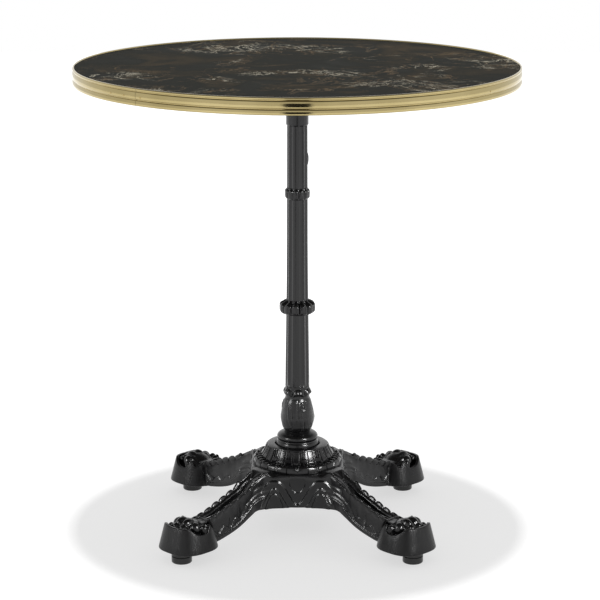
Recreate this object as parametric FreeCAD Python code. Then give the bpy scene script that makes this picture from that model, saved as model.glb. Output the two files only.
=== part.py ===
"""Round bistro table: brass-banded top on a fluted cast-iron column and a four-legged claw-foot base.

Millimetres, +Z up. The origin is on the floor, on the column's axis. The legs point along the
diagonals of X and Y. Every separate piece of the table is written as its own STEP file.
"""

import FreeCAD, Part
import math
import os

from FreeCAD import Vector

# ---- driving dimensions ---------------------------------------------------------------------
TABLE_HEIGHT = 754.0  # floor to the top of the brass lip
TOP_RADIUS = 350.0  # outside of the brass band
BASE_LIFT = 21.0  # floor to the underside of the castings' feet
FLUTE_COUNT = 12
LEG_ANGLES = [225, 315, 45, 135]  # front left, front right, back right, back left
LEG_NAMES = ["front_left", "front_right", "back_right", "back_left"]

# ---- top ------------------------------------------------------------------------------------
BAND_HEIGHT = 26.0
BAND_INNER = TOP_RADIUS - 3.6
BAND_GAP = 0.5  # open butt joint in the band
BAND_JOINT_ANGLE = 228.0
LIP_HEIGHT = 1.5  # band above the laminate
LAMINATE = 1.0
BACKING = 0.8
BAND_BOTTOM = TABLE_HEIGHT - BAND_HEIGHT
LAMINATE_TOP = TABLE_HEIGHT - LIP_HEIGHT
CORE_TOP = LAMINATE_TOP - LAMINATE
BACKING_BOTTOM = BAND_BOTTOM + 0.7
CORE_BOTTOM = BACKING_BOTTOM + BACKING
SHEET_RADIUS = BAND_INNER - 0.1  # core and laminates inside the band

PIN_ANGLES = [229.6, 223.9, 218.7, 324.4, 59.2, 154.0]
PIN_Z = TABLE_HEIGHT - 12.5
PIN_HEAD_RADIUS = 1.4
PIN_SHANK_RADIUS = 0.8
PIN_LENGTH = 16.0

# ---- spider under the top -------------------------------------------------------------------
SPIDER_TOP = BACKING_BOTTOM
SPIDER_PLATE = 6.0
SPIDER_REACH = 165.0
SPIDER_BOTTOM = 684.0
SCREW_REACHES = [115.0, 150.0]
SCREW_RADIUS = 2.5
SCREW_HEAD_RADIUS = 4.8
SCREW_HEAD_HEIGHT = 3.0
SCREW_TIP_Z = CORE_BOTTOM + 15.5
CLEARANCE = 0.05  # radial, between a fastener and its hole

# ---- tie rod and its nuts -------------------------------------------------------------------
ROD_RADIUS = 6.0
ROD_BOTTOM = 74.0
ROD_TOP = SPIDER_TOP - 1.7
TOP_SEAT_Z = SPIDER_TOP - 16.7  # floor of the spider's counterbore
HUB_WEB_BOTTOM = 96.0
NUT_ACROSS_FLATS = 18.0
NUT_HEIGHT = 10.0

# ---- column ---------------------------------------------------------------------------------
COLUMN_SEAT = 126.0  # floor of the hub's recess
COLUMN_BORE = 10.0
COLUMN_SPIGOT_RADIUS = 14.2
COLUMN_FOOT_SPIGOT = 20.0
FLUTE_RADIUS = 4.6
FLUTE_DEPTH = 1.3

# ---- base -----------------------------------------------------------------------------------
HUB_RECESS_RADIUS = 36.2
GLIDE_REACH = 254.6  # column axis to a glide's axis
CUP_REACH = 240.5  # column axis to the middle of a foot
CUP_HALF = 43.0  # half the width of a foot at its lower edge
CUP_TOP = 59.0
CUP_TAPER = 9.0  # how far a foot's wall leans in, from bottom to top
CUP_POWER = 2.6  # squareness of a foot's outline
CASTING_WALL = 5.0

# ---- glides ---------------------------------------------------------------------------------
PAD_RADIUS = 16.0
PAD_HEIGHT = 17.0
STUD_RADIUS = 5.0
STUD_TOP = 40.0
STUD_HEAD_RADIUS = 9.0
TAPPED_TOP = 46.0

Z_AXIS = Vector(0, 0, 1)
ORIGIN = Vector(0, 0, 0)


def cylinder(radius, bottom, top, x=0.0, y=0.0):
    return Part.makeCylinder(radius, top - bottom, Vector(x, y, bottom))


def tube(outer, inner, bottom, top):
    return cylinder(outer, bottom, top).cut(cylinder(inner, bottom - 1, top + 1))


def turned(shape, angle):
    """A copy of shape turned about the column's axis."""
    copy = shape.copy()
    copy.rotate(ORIGIN, Z_AXIS, angle)
    return copy


def ring_of(shape, angles):
    return [turned(shape, a) for a in angles]


def revolved(outline, angle=360.0):
    """Solid of revolution from (radius, z) points; a three-item entry is the middle of an arc."""
    points = [Vector(p[0], 0, p[1]) for p in outline]
    bends = [len(p) == 3 for p in outline]
    edges = []
    i = 0
    while i < len(points) - 1:
        if bends[i + 1]:
            edges.append(Part.Arc(points[i], points[i + 1], points[i + 2]).toShape())
            i += 2
        else:
            edges.append(Part.makeLine(points[i], points[i + 1]))
            i += 1
    edges.append(Part.makeLine(points[-1], points[0]))
    return Part.Face(Part.Wire(edges)).revolve(ORIGIN, Z_AXIS, angle)


def section(points, x):
    """Closed polygon in the plane across a leg, from (y, z) points."""
    corners = [Vector(x, y, z) for y, z in points]
    return Part.makePolygon(corners + corners[:1])


def hex_prism(across_flats, bottom, top):
    radius = across_flats / math.sqrt(3)
    corners = []
    for i in range(6):
        a = math.radians(60 * i)
        corners.append(Vector(radius * math.cos(a), radius * math.sin(a), bottom))
    face = Part.Face(Part.makePolygon(corners + corners[:1]))
    return face.extrude(Vector(0, 0, top - bottom))


def keep(name, shape):
    """Writes one named piece, checked to be made of sound solids."""
    solids = shape.Solids
    if not solids or not all(s.isValid() for s in solids):
        raise RuntimeError("bad solid in " + name)
    Part.makeCompound(solids).exportStep("parts/" + name + ".step")
    print(name, len(solids), "solids", round(shape.Volume / 1000, 1), "cm3")


# ---- top ------------------------------------------------------------------------------------
def screw_places():
    places = []
    for angle in LEG_ANGLES:
        for reach in SCREW_REACHES:
            a = math.radians(angle)
            places.append((reach * math.cos(a), reach * math.sin(a)))
    return places


def radial_cylinder(radius, inner, outer, angle):
    """Cylinder lying along a radius of the top, at the pins' height."""
    rod = Part.makeCylinder(radius, outer - inner, Vector(inner, 0, PIN_Z), Vector(1, 0, 0))
    return turned(rod, angle)


def rim_band():
    """Brass strip bent to a ring: a small bead, then two broad reeds, with grooves between."""
    r, z = TOP_RADIUS, TABLE_HEIGHT
    outline = [
        (BAND_INNER, z - 0.4),
        (BAND_INNER + 0.4, z),
        (r - 2.0, z),
        (r - 0.5, z - 1.9, "arc"),
        (r - 2.1, z - 3.8),
        (r - 2.1, z - 5.0),
        (r - 0.6, z - 6.9, "arc"),
        (r, z - 10.2),
        (r, z - 14.6),
        (r - 0.6, z - 15.8, "arc"),
        (r - 2.0, z - 16.3),
        (r - 2.0, z - 17.5),
        (r - 0.6, z - 19.1, "arc"),
        (r, z - 21.8),
        (r, z - 24.0),
        (r - 0.6, z - 25.5, "arc"),
        (r - 2.2, z - BAND_HEIGHT),
        (BAND_INNER, z - BAND_HEIGHT),
    ]
    gap_angle = math.degrees(BAND_GAP / TOP_RADIUS)
    band = turned(revolved(outline, 360.0 - gap_angle), BAND_JOINT_ANGLE + gap_angle / 2)
    for angle in PIN_ANGLES:
        shank = radial_cylinder(PIN_SHANK_RADIUS + CLEARANCE, BAND_INNER - 1, TOP_RADIUS, angle)
        head = radial_cylinder(PIN_HEAD_RADIUS + CLEARANCE, TOP_RADIUS - 0.8, TOP_RADIUS + 1, angle)
        band = band.cut(shank).cut(head)
    return band


def rim_pins():
    pins = []
    for angle in PIN_ANGLES:
        shank = radial_cylinder(PIN_SHANK_RADIUS, TOP_RADIUS - PIN_LENGTH, TOP_RADIUS - 0.4, angle)
        head = radial_cylinder(PIN_HEAD_RADIUS, TOP_RADIUS - 0.75, TOP_RADIUS + 0.15, angle)
        pins.append(shank.fuse(head).removeSplitter())
    return Part.makeCompound(pins)


def top_core():
    core = cylinder(SHEET_RADIUS, CORE_BOTTOM, CORE_TOP)
    for x, y in screw_places():
        core = core.cut(cylinder(SCREW_RADIUS + CLEARANCE, CORE_BOTTOM - 1, SCREW_TIP_Z + 1, x, y))
    for angle in PIN_ANGLES:
        inner = TOP_RADIUS - PIN_LENGTH - 1
        core = core.cut(radial_cylinder(PIN_SHANK_RADIUS + CLEARANCE, inner, TOP_RADIUS, angle))
    return core


def top_laminate():
    return cylinder(SHEET_RADIUS, CORE_TOP, LAMINATE_TOP)


def backing_laminate():
    sheet = cylinder(SHEET_RADIUS, BACKING_BOTTOM, CORE_BOTTOM)
    for x, y in screw_places():
        sheet = sheet.cut(cylinder(SCREW_RADIUS + CLEARANCE, BACKING_BOTTOM - 1, CORE_BOTTOM + 1, x, y))
    return sheet


# ---- spider ---------------------------------------------------------------------------------
def spider_arm():
    """One arm along +X: a tapered flat bar with a rounded end and a web below it."""
    bottom = SPIDER_TOP - SPIDER_PLATE
    root_half, end_half = 20.0, 13.0
    end_centre = SPIDER_REACH - end_half
    bar = Part.Face(
        Part.makePolygon(
            [
                Vector(0, -root_half, bottom),
                Vector(end_centre, -end_half, bottom),
                Vector(end_centre, end_half, bottom),
                Vector(0, root_half, bottom),
                Vector(0, -root_half, bottom),
            ]
        )
    ).extrude(Vector(0, 0, SPIDER_PLATE))
    bar = bar.fuse(cylinder(end_half, bottom, SPIDER_TOP, end_centre))
    web_half = 3.5
    web_end = 100.0
    web = Part.Face(
        Part.makePolygon(
            [
                Vector(0, -web_half, SPIDER_BOTTOM + 10),
                Vector(24, -web_half, SPIDER_BOTTOM + 10),
                Vector(web_end, -web_half, bottom),
                Vector(0, -web_half, bottom),
                Vector(0, -web_half, SPIDER_BOTTOM + 10),
            ]
        )
    ).extrude(Vector(0, 2 * web_half, 0))
    return bar.fuse(web)


def top_spider():
    boss = revolved(
        [
            (0, SPIDER_BOTTOM),
            (20.5, SPIDER_BOTTOM),
            (21.5, SPIDER_BOTTOM + 1),
            (27, SPIDER_TOP - SPIDER_PLATE),
            (27, SPIDER_TOP),
            (0, SPIDER_TOP),
        ]
    )
    spider = boss.multiFuse(ring_of(spider_arm(), LEG_ANGLES))
    spider = spider.cut(cylinder(COLUMN_SPIGOT_RADIUS + 0.2, SPIDER_BOTTOM - 1, SPIDER_BOTTOM + 8))
    spider = spider.cut(cylinder(ROD_RADIUS + 0.6, SPIDER_BOTTOM, SPIDER_TOP + 1))
    spider = spider.cut(cylinder(16.0, TOP_SEAT_Z, SPIDER_TOP + 1))
    for x, y in screw_places():
        spider = spider.cut(cylinder(SCREW_RADIUS + 0.25, SPIDER_BOTTOM, SPIDER_TOP + 1, x, y))
    return spider.removeSplitter()


def spider_screws():
    screws = []
    for x, y in screw_places():
        under_arm = SPIDER_TOP - SPIDER_PLATE
        head = cylinder(SCREW_HEAD_RADIUS, under_arm - SCREW_HEAD_HEIGHT, under_arm, x, y)
        cross = Part.makeBox(5.0, 1.0, 1.6, Vector(x - 2.5, y - 0.5, under_arm - SCREW_HEAD_HEIGHT))
        other = Part.makeBox(1.0, 5.0, 1.6, Vector(x - 0.5, y - 2.5, under_arm - SCREW_HEAD_HEIGHT))
        shank = cylinder(SCREW_RADIUS, under_arm, SCREW_TIP_Z - 4, x, y)
        tip = Part.makeCone(SCREW_RADIUS, 0.4, 4.0, Vector(x, y, SCREW_TIP_Z - 4))
        screws.append(head.cut(cross).cut(other).fuse(shank).fuse(tip).removeSplitter())
    return Part.makeCompound(screws)


# ---- tie rod --------------------------------------------------------------------------------
def tie_rod():
    rod = cylinder(ROD_RADIUS, ROD_BOTTOM, ROD_TOP)
    ends = [e for e in rod.Edges if isinstance(e.Curve, Part.Circle)]
    return rod.makeChamfer(1.0, ends)


def nut(bottom):
    """Hexagon nut with its corners rounded off above and below."""
    top = bottom + NUT_HEIGHT
    corner = NUT_ACROSS_FLATS / math.sqrt(3)
    flat = NUT_ACROSS_FLATS / 2
    bevel = 0.9
    rounded = revolved(
        [
            (0, bottom),
            (flat, bottom),
            (corner, bottom + bevel),
            (corner, top - bevel),
            (flat, top),
            (0, top),
        ]
    )
    body = hex_prism(NUT_ACROSS_FLATS, bottom, top).common(rounded)
    return body.cut(cylinder(ROD_RADIUS + CLEARANCE, bottom - 1, top + 1))


def spring_washer(bottom):
    """Split washer, drawn flat because it is clamped."""
    ring = tube(10.0, ROD_RADIUS + 0.3, bottom, bottom + 2.5)
    return ring.cut(Part.makeBox(12.0, 1.2, 4.0, Vector(3.0, -0.6, bottom - 0.5)))


# ---- column ---------------------------------------------------------------------------------
def collar_outline(bottom, top, radius, shaft_below, shaft_above, slope):
    """Side of a collar from its lower edge to its upper one: sloped shoulders and a straight face."""
    return [
        (shaft_below, bottom),
        (radius - slope * 0.45, bottom + slope * 0.55),
        (radius, bottom + slope * 1.4),
        (radius, top - slope * 1.6),
        (radius - slope * 0.4, top - slope * 0.7),
        (shaft_above, top),
    ]


LOWER_COLLAR = (354.5, 378.0, 28.9)  # bottom z, top z, radius
UPPER_COLLAR = (541.0, 559.0, 20.1)
SHAFT_STRETCHES = [  # bottom z, top z, bottom radius, top radius of each fluted stretch
    (233.0, 354.5, 19.5, 18.0),
    (378.0, 541.0, 17.6, 16.6),
    (559.0, 657.0, 16.5, 16.2),
]


def column_body():
    low, mid, high = SHAFT_STRETCHES
    outline = [
        (0, COLUMN_SEAT - 12),
        (COLUMN_FOOT_SPIGOT, COLUMN_SEAT - 12),
        (COLUMN_FOOT_SPIGOT, COLUMN_SEAT),
        (33.0, COLUMN_SEAT),
        (34.6, 139.5, "arc"),
        (31.6, 145.5),
        (33.0, 151.5, "arc"),
        (26.0, 158.2),
        (20.8, 161.0),
        (23.3, 164.6),
        (25.8, 171.4),
        (27.4, 182.5, "arc"),
        (25.3, 196.7),
        (19.6, 218.0),
        (23.8, 226.0),
        (20.6, 231.0),
        (low[2], low[0]),
    ]
    outline += collar_outline(*LOWER_COLLAR, low[3], mid[2], 4.5)
    outline += collar_outline(*UPPER_COLLAR, mid[3], high[2], 2.5)
    outline += [
        (high[3], high[1]),
        (17.9, 661.0),
        (17.9, SPIDER_BOTTOM),
        (COLUMN_SPIGOT_RADIUS, SPIDER_BOTTOM),
        (COLUMN_SPIGOT_RADIUS, SPIDER_BOTTOM + 7),
        (0, SPIDER_BOTTOM + 7),
    ]
    return revolved(outline)


def flute_cutter(stretch):
    """Tapered round cutter that sinks FLUTE_DEPTH into one stretch of the shaft, on its +X side."""
    bottom, top, radius_low, radius_high = stretch
    margin = 4.0
    offset = FLUTE_RADIUS - FLUTE_DEPTH
    start = Vector(radius_low + offset, 0, bottom + margin)
    end = Vector(radius_high + offset, 0, top - margin)
    along = end - start
    bar = Part.makeCylinder(FLUTE_RADIUS, along.Length, start, along)
    for centre in (start, end):
        bar = bar.fuse(Part.makeSphere(FLUTE_RADIUS, centre))
    return bar


def column_casting():
    step = 360.0 / FLUTE_COUNT
    column = column_body()
    cutters = []
    for stretch in SHAFT_STRETCHES:
        cutters += ring_of(flute_cutter(stretch), [step * i for i in range(FLUTE_COUNT)])
    for (bottom, top, radius), scallop in ((LOWER_COLLAR, 9.0), (UPPER_COLLAR, 6.0)):
        sunk = 2.2 if radius > 25 else 1.2
        cutter = cylinder(scallop, bottom - 1, top + 1, radius + scallop - sunk)
        cutters += ring_of(cutter, [step * i for i in range(FLUTE_COUNT)])
    column = column.cut(Part.makeCompound(cutters))
    lug = Part.makeSphere(1.0)
    lug_place = FreeCAD.Matrix(3.4, 0, 0, 14.6, 0, 3.2, 0, 0, 0, 0, 11.0, 605.0, 0, 0, 0, 1)
    column = column.fuse(lug.transformGeometry(lug_place))
    return column.cut(cylinder(COLUMN_BORE, COLUMN_SEAT - 14, SPIDER_BOTTOM + 9))


# ---- base -----------------------------------------------------------------------------------
# Across a leg, at each reach from the column's axis: height of its ridges, height of its lower
# edge, half its width at the lower edge, half its width at the ridges, and the trough's depth.
LEG_SECTIONS = [
    (50.0, 113.0, 50.0, 34.0, 16.0, 0.5),
    (78.0, 113.0, 50.0, 25.0, 12.0, 0.5),
    (95.0, 111.0, 51.0, 20.0, 9.0, 2.0),
    (109.0, 101.0, 50.5, 18.0, 11.0, 6.0),
    (124.0, 90.5, 44.5, 17.0, 13.0, 8.0),
    (146.0, 80.5, 34.0, 16.5, 12.5, 8.0),
    (170.0, 72.0, 26.5, 16.5, 11.5, 7.0),
    (190.0, 64.5, 22.5, 17.0, 9.5, 4.0),
    (212.0, 59.0, 21.5, 18.0, 9.0, 0.5),
]


def leg_body():
    """One leg along +X, with a trough along its top."""
    wires = []
    for reach, ridge, edge, half_low, half_ridge, trough in LEG_SECTIONS:
        shoulder = ridge - 6.0
        half_shoulder = half_ridge + 3.0
        points = [(-half_low, edge), (half_low, edge), (half_shoulder, shoulder), (half_ridge, ridge)]
        points += [(0, ridge - trough), (-half_ridge, ridge), (-half_shoulder, shoulder)]
        wires.append(section(points, reach))
    return Part.makeLoft(wires, True, True)


def leg_hollow():
    """The open channel under one leg."""
    wires = []
    for reach, ridge, edge, half_low, half_ridge, trough in LEG_SECTIONS[1:]:
        roof = ridge - trough - CASTING_WALL
        if reach > 100:
            roof = max(roof - 2.0, edge + 12.0)
        else:
            roof = HUB_WEB_BOTTOM
        half_bottom = half_low - CASTING_WALL
        half_roof = max(half_ridge - 4.0, 5.0)
        points = [(-half_bottom, edge - 2), (half_bottom, edge - 2), (half_roof, roof), (-half_roof, roof)]
        wires.append(section(points, reach))
    return Part.makeLoft(wires, True, True)


def cup_outline(half, z, points=24):
    """Rounded-square outline of a foot at height z."""
    corners = []
    for i in range(points):
        a = 2 * math.pi * (i + 0.5) / points
        c, s = math.cos(a), math.sin(a)
        radius = half / (abs(c) ** CUP_POWER + abs(s) ** CUP_POWER) ** (1 / CUP_POWER)
        corners.append(Vector(CUP_REACH + radius * c, radius * s, z))
    curve = Part.BSplineCurve()
    curve.interpolate(corners, PeriodicFlag=True)
    return Part.Wire(curve.toShape())


def cup_loft(inset_low, inset_high, bottom, top):
    low = cup_outline(CUP_HALF - inset_low, bottom)
    high = cup_outline(CUP_HALF - inset_high, top)
    return Part.makeLoft([low, high], True, True)


def foot_body():
    """One foot on the +X leg: a tapered cup with scooped sides, filled by a domed ornament."""
    cup = cup_loft(0.0, CUP_TAPER, BASE_LIFT, CUP_TOP)
    well = cup_loft(CUP_TAPER * 0.7 + 4.0, CUP_TAPER + 4.0, 47.0, CUP_TOP + 1)
    scoop = Part.makeCylinder(20.0, 120.0, Vector(CUP_REACH - 8, -60, CUP_TOP + 7.0), Vector(0, 1, 0))
    cup = cup.cut(well).cut(scoop)
    dome_place = FreeCAD.Matrix(27.0, 0, 0, CUP_REACH - 2, 0, 27.0, 0, 0, 0, 0, 24.0, 46.0, 0, 0, 0, 1)
    dome = Part.makeSphere(1.0).transformGeometry(dome_place)
    return cup.fuse(dome)


def foot_hollow():
    """The pocket under one foot, around the boss that holds the glide."""
    pocket = cup_loft(CASTING_WALL, CASTING_WALL + 4.0, BASE_LIFT - 1, 40.0)
    boss = cylinder(11.5, BASE_LIFT + 2, 42.0, GLIDE_REACH)
    tapped = cylinder(STUD_RADIUS + CLEARANCE, BASE_LIFT, TAPPED_TOP, GLIDE_REACH)
    return pocket.cut(boss).fuse(tapped)


def hub_body():
    """Crown, tablet cone and moulding round the column's foot."""
    return revolved(
        [
            (0, 98.0),
            (65.0, 98.0),
            (70.0, 102.0),
            (71.5, 108.5, "arc"),
            (66.0, 119.0),
            (61.5, 123.0),
            (54.0, 129.0),
            (49.0, 136.0),
            (48.6, 138.0, "arc"),
            (46.5, 139.0),
            (HUB_RECESS_RADIUS + 1, 139.0),
            (HUB_RECESS_RADIUS, 138.0),
            (HUB_RECESS_RADIUS, COLUMN_SEAT),
            (0, COLUMN_SEAT),
        ]
    )


def octagon(half, corner, z):
    """Square of the given half width with its corners cut off."""
    points = []
    for k in range(4):
        c, s = math.cos(math.pi / 2 * k), math.sin(math.pi / 2 * k)
        for x, y in ((half, -corner), (half, corner)):
            points.append(Vector(x * c - y * s, x * s + y * c, z))
    return Part.makePolygon(points + points[:1])


def apron_body():
    """Block under the hub whose four faces span from leg to leg."""
    wires = [octagon(73.0, 50.0, 50.0), octagon(77.0, 46.0, 97.0), octagon(70.0, 42.0, 107.0)]
    return Part.makeLoft(wires, True, True)


def base_casting():
    parts = [apron_body()]
    parts += ring_of(leg_body(), LEG_ANGLES)
    parts += ring_of(foot_body(), LEG_ANGLES)
    base = hub_body().multiFuse(parts)
    pocket = Part.makeLoft([octagon(67.0, 46.0, 49.0), octagon(69.0, 42.0, HUB_WEB_BOTTOM)], True, True)
    groove = tube(50.0, 30.0, HUB_WEB_BOTTOM - 1, 112.0)
    hollows = [pocket, groove]
    hollows += ring_of(leg_hollow(), LEG_ANGLES)
    hollows += ring_of(foot_hollow(), LEG_ANGLES)
    hollows.append(cylinder(COLUMN_FOOT_SPIGOT + 0.2, COLUMN_SEAT - 12.5, COLUMN_SEAT + 1))
    hollows.append(cylinder(ROD_RADIUS + 0.6, 40.0, COLUMN_SEAT))
    for hollow in hollows:
        base = base.cut(hollow)
    return base


# ---- glides ---------------------------------------------------------------------------------
def glide_pad():
    """Moulded pad with a captive cavity for the stud's head."""
    pad = revolved(
        [
            (0, 0),
            (PAD_RADIUS - 2.5, 0),
            (PAD_RADIUS - 0.7, 0.7, "arc"),
            (PAD_RADIUS, 2.5),
            (PAD_RADIUS, 10.4),
            (PAD_RADIUS - 1.4, 10.9),
            (PAD_RADIUS - 1.4, 11.7),
            (PAD_RADIUS, 12.2),
            (PAD_RADIUS, PAD_HEIGHT - 0.8),
            (PAD_RADIUS - 0.8, PAD_HEIGHT),
            (0, PAD_HEIGHT),
        ]
    )
    pad = pad.cut(cylinder(STUD_HEAD_RADIUS + 0.1, 5.0, 12.0))
    pad = pad.cut(cylinder(STUD_RADIUS + 0.3, 11.0, PAD_HEIGHT + 1))
    pad.translate(Vector(GLIDE_REACH, 0, 0))
    return pad


def glide_stud():
    """Threaded stud, drawn at its major diameter, with the flat head that turns in the pad."""
    head = cylinder(STUD_HEAD_RADIUS, 5.1, 11.9)
    shank = cylinder(STUD_RADIUS, 11.0, STUD_TOP - 1.0)
    tip = Part.makeCone(STUD_RADIUS, STUD_RADIUS - 1.0, 1.0, Vector(0, 0, STUD_TOP - 1.0))
    stud = head.fuse(shank).fuse(tip).removeSplitter()
    stud.translate(Vector(GLIDE_REACH, 0, 0))
    return stud


def main():
    os.makedirs("parts", exist_ok=True)
    keep("rim_band", rim_band())
    keep("rim_pins", rim_pins())
    keep("top_core", top_core())
    keep("top_laminate", top_laminate())
    keep("backing_laminate", backing_laminate())
    keep("top_spider", top_spider())
    keep("spider_screws", spider_screws())
    keep("tie_rod", tie_rod())
    keep("top_washer", tube(12.0, ROD_RADIUS + 0.5, TOP_SEAT_Z, TOP_SEAT_Z + 2.5))
    keep("top_nut", nut(TOP_SEAT_Z + 2.5))
    keep("bottom_washer", tube(25.0, ROD_RADIUS + 0.5, HUB_WEB_BOTTOM - 4.0, HUB_WEB_BOTTOM))
    keep("spring_washer", spring_washer(HUB_WEB_BOTTOM - 6.5))
    keep("bottom_nut", nut(HUB_WEB_BOTTOM - 6.5 - NUT_HEIGHT))
    keep("column_casting", column_casting())
    keep("base_casting", base_casting())
    for name, angle in zip(LEG_NAMES, LEG_ANGLES):
        keep("glide_pad_" + name, turned(glide_pad(), angle))
        keep("glide_stud_" + name, turned(glide_stud(), angle))


main()
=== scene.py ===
"""Looks of the round bistro table: cast relief, brass band, marbled top, and a small studio.

Shapes are worked out in millimetres in the CAD frame and scaled to metres when a mesh is made.
"""

import functools
import math

import bpy
import numpy as np
import openvdb
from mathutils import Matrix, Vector


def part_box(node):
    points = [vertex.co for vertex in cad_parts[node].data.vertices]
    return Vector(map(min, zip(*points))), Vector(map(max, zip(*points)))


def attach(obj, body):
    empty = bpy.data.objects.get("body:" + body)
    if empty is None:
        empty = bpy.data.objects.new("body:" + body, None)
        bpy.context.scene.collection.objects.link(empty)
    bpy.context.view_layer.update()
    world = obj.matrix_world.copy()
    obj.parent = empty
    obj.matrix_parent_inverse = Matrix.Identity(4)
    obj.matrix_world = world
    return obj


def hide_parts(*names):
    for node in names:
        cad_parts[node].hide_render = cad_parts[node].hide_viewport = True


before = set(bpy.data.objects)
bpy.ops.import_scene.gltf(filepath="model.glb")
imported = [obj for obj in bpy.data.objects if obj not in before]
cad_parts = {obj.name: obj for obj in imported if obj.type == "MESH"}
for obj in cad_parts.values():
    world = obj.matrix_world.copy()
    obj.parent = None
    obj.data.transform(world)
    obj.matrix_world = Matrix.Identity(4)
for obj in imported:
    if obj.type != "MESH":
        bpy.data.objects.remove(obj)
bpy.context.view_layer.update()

MM = 0.001
ROOT_2 = math.sqrt(2)
FRONT = -90.0  # azimuth of the table's front, in degrees


def corners(node):
    """Lowest and highest corner of a CAD node, in millimetres."""
    low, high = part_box(node)
    return np.array(low) / MM, np.array(high) / MM


def middle(node):
    """Middle of a CAD node's box, in millimetres."""
    low, high = corners(node)
    return (low + high) / 2


# ---- driving dimensions, read from the CAD pieces -------------------------------------------
TOP_Z = corners("rim_band")[1][2]
TOP_RADIUS = corners("rim_band")[1][0]
SHEET_TOP = corners("top_laminate")[1][2]
SHEET_BOTTOM = corners("top_laminate")[0][2]
SHEET_RADIUS = corners("top_laminate")[1][0]
FOOT_Z = corners("base_casting")[0][2]
HUB_TOP = corners("base_casting")[1][2]
COLUMN_FOOT = corners("column_casting")[0][2]
COLUMN_TOP = corners("column_casting")[1][2]
GLIDE_REACH = float(np.hypot(*middle("glide_pad_back_right")[:2]))
CORNER_NAMES = ["front_left", "front_right", "back_right", "back_left"]


# ---- curves and fields ----------------------------------------------------------------------
def curve(x, table):
    """Value at x on a smooth curve through (x, value) pairs, level beyond the ends."""
    xs = np.array([p[0] for p in table], float)
    ys = np.array([p[1] for p in table], float)
    slopes = np.gradient(ys, xs)
    x = np.clip(x, xs[0], xs[-1])
    i = np.clip(np.searchsorted(xs, x, side="right") - 1, 0, len(xs) - 2)
    step = xs[i + 1] - xs[i]
    t = (x - xs[i]) / step
    ends = ys[i] * (1 + 2 * t) * (1 - t) ** 2 + ys[i + 1] * t * t * (3 - 2 * t)
    return ends + slopes[i] * step * t * (1 - t) ** 2 - slopes[i + 1] * step * t * t * (1 - t)


def straight(x, table):
    """Value at x on straight lines through (x, value) pairs."""
    return np.interp(x, [p[0] for p in table], [p[1] for p in table])


def rise(x, soft):
    """0 below zero, 1 above it, with a smooth change about soft wide."""
    t = np.clip(x / soft + 0.5, 0, 1)
    return t * t * (3 - 2 * t)


def bump(x, half):
    """Rounded bump of height 1 and half width half, centred on zero."""
    return np.clip(1 - (x / half) ** 2, 0, 1) ** 0.5


def line(x, half):
    """Soft-edged line of height 1 centred on zero."""
    return np.exp(-((x / half) ** 2))


def join(a, b, k):
    """Union of two fields, with a fillet about k wide."""
    h = np.clip(0.5 + 0.5 * (b - a) / k, 0, 1)
    return b + (a - b) * h - k * h * (1 - h)


def meet(a, b, k):
    """Common part of two fields, with an edge rounded about k wide."""
    return -join(-a, -b, k)


def rod(p, start, end, radius, end_radius):
    """Field of a round-ended rod that tapers from radius to end_radius."""
    axis = np.subtract(end, start)
    rel = [p[i] - start[i] for i in range(3)]
    t = np.clip(sum(rel[i] * axis[i] for i in range(3)) / np.dot(axis, axis), 0, 1)
    gap = np.sqrt(sum((rel[i] - t * axis[i]) ** 2 for i in range(3)))
    return gap - radius - (end_radius - radius) * t


def egg(p, centre, radii):
    """Field of an ellipsoid."""
    scaled = np.sqrt(sum(((p[i] - centre[i]) / radii[i]) ** 2 for i in range(3)))
    return (scaled - 1) * min(radii)


# ---- meshes ---------------------------------------------------------------------------------
def add_piece(name, points, faces, body, nodes, materials, crease=40.0):
    """A shown piece, from points in millimetres, that stands for CAD nodes and moves with body."""
    mesh = bpy.data.meshes.new(name)
    mesh.from_pydata(np.asarray(points) * MM, [], faces)
    mesh.validate()
    for material in materials:
        mesh.materials.append(material)
    mesh.shade_smooth()
    mesh.set_sharp_from_angle(angle=math.radians(crease))
    piece = bpy.data.objects.new(name, mesh)
    bpy.context.scene.collection.objects.link(piece)
    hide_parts(*nodes)
    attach(piece, body)
    return piece


def ring_faces(rows, columns, closed):
    """Quads of a grid of points that is joined round its columns, and end to end if closed."""
    index = np.arange(rows * columns).reshape(rows, columns)
    here = index if closed else index[:-1]
    beyond = np.roll(index, -1, axis=0) if closed else index[1:]
    quads = [here, np.roll(here, -1, axis=1), np.roll(beyond, -1, axis=1), beyond]
    return np.stack([q.ravel() for q in quads], axis=1)


def turned(radius, z, angle):
    """Points on rings round the column's axis, from arrays of rows by columns; angle in degrees."""
    a = np.radians(angle)
    radius, z, a = np.broadcast_arrays(radius, z, a)
    return np.stack([radius * np.cos(a), radius * np.sin(a), z], axis=-1)


def merged(parts):
    """One array of points and one list of faces, from several pairs of points and faces."""
    points, faces, offset = [], [], 0
    for part_points, part_faces in parts:
        points.append(part_points)
        faces += [[i + offset for i in face] for face in part_faces]
        offset += len(part_points)
    return np.concatenate(points), faces


def looped(rings):
    """Points and faces of rings joined one to the next, and the last to the first."""
    rows, columns = rings.shape[:2]
    return rings.reshape(-1, 3), ring_faces(rows, columns, True).tolist()


def capped(rings):
    """Points and faces of rings joined one to the next, with a flat face at each end."""
    rows, columns = rings.shape[:2]
    faces = ring_faces(rows, columns, False).tolist()
    faces.append(list(range(columns - 1, -1, -1)))
    faces.append(list(range((rows - 1) * columns, rows * columns)))
    return rings.reshape(-1, 3), faces


def spread(x, repeat):
    """x folded into one repeat centred on zero."""
    return (x + repeat / 2) % repeat - repeat / 2


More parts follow.
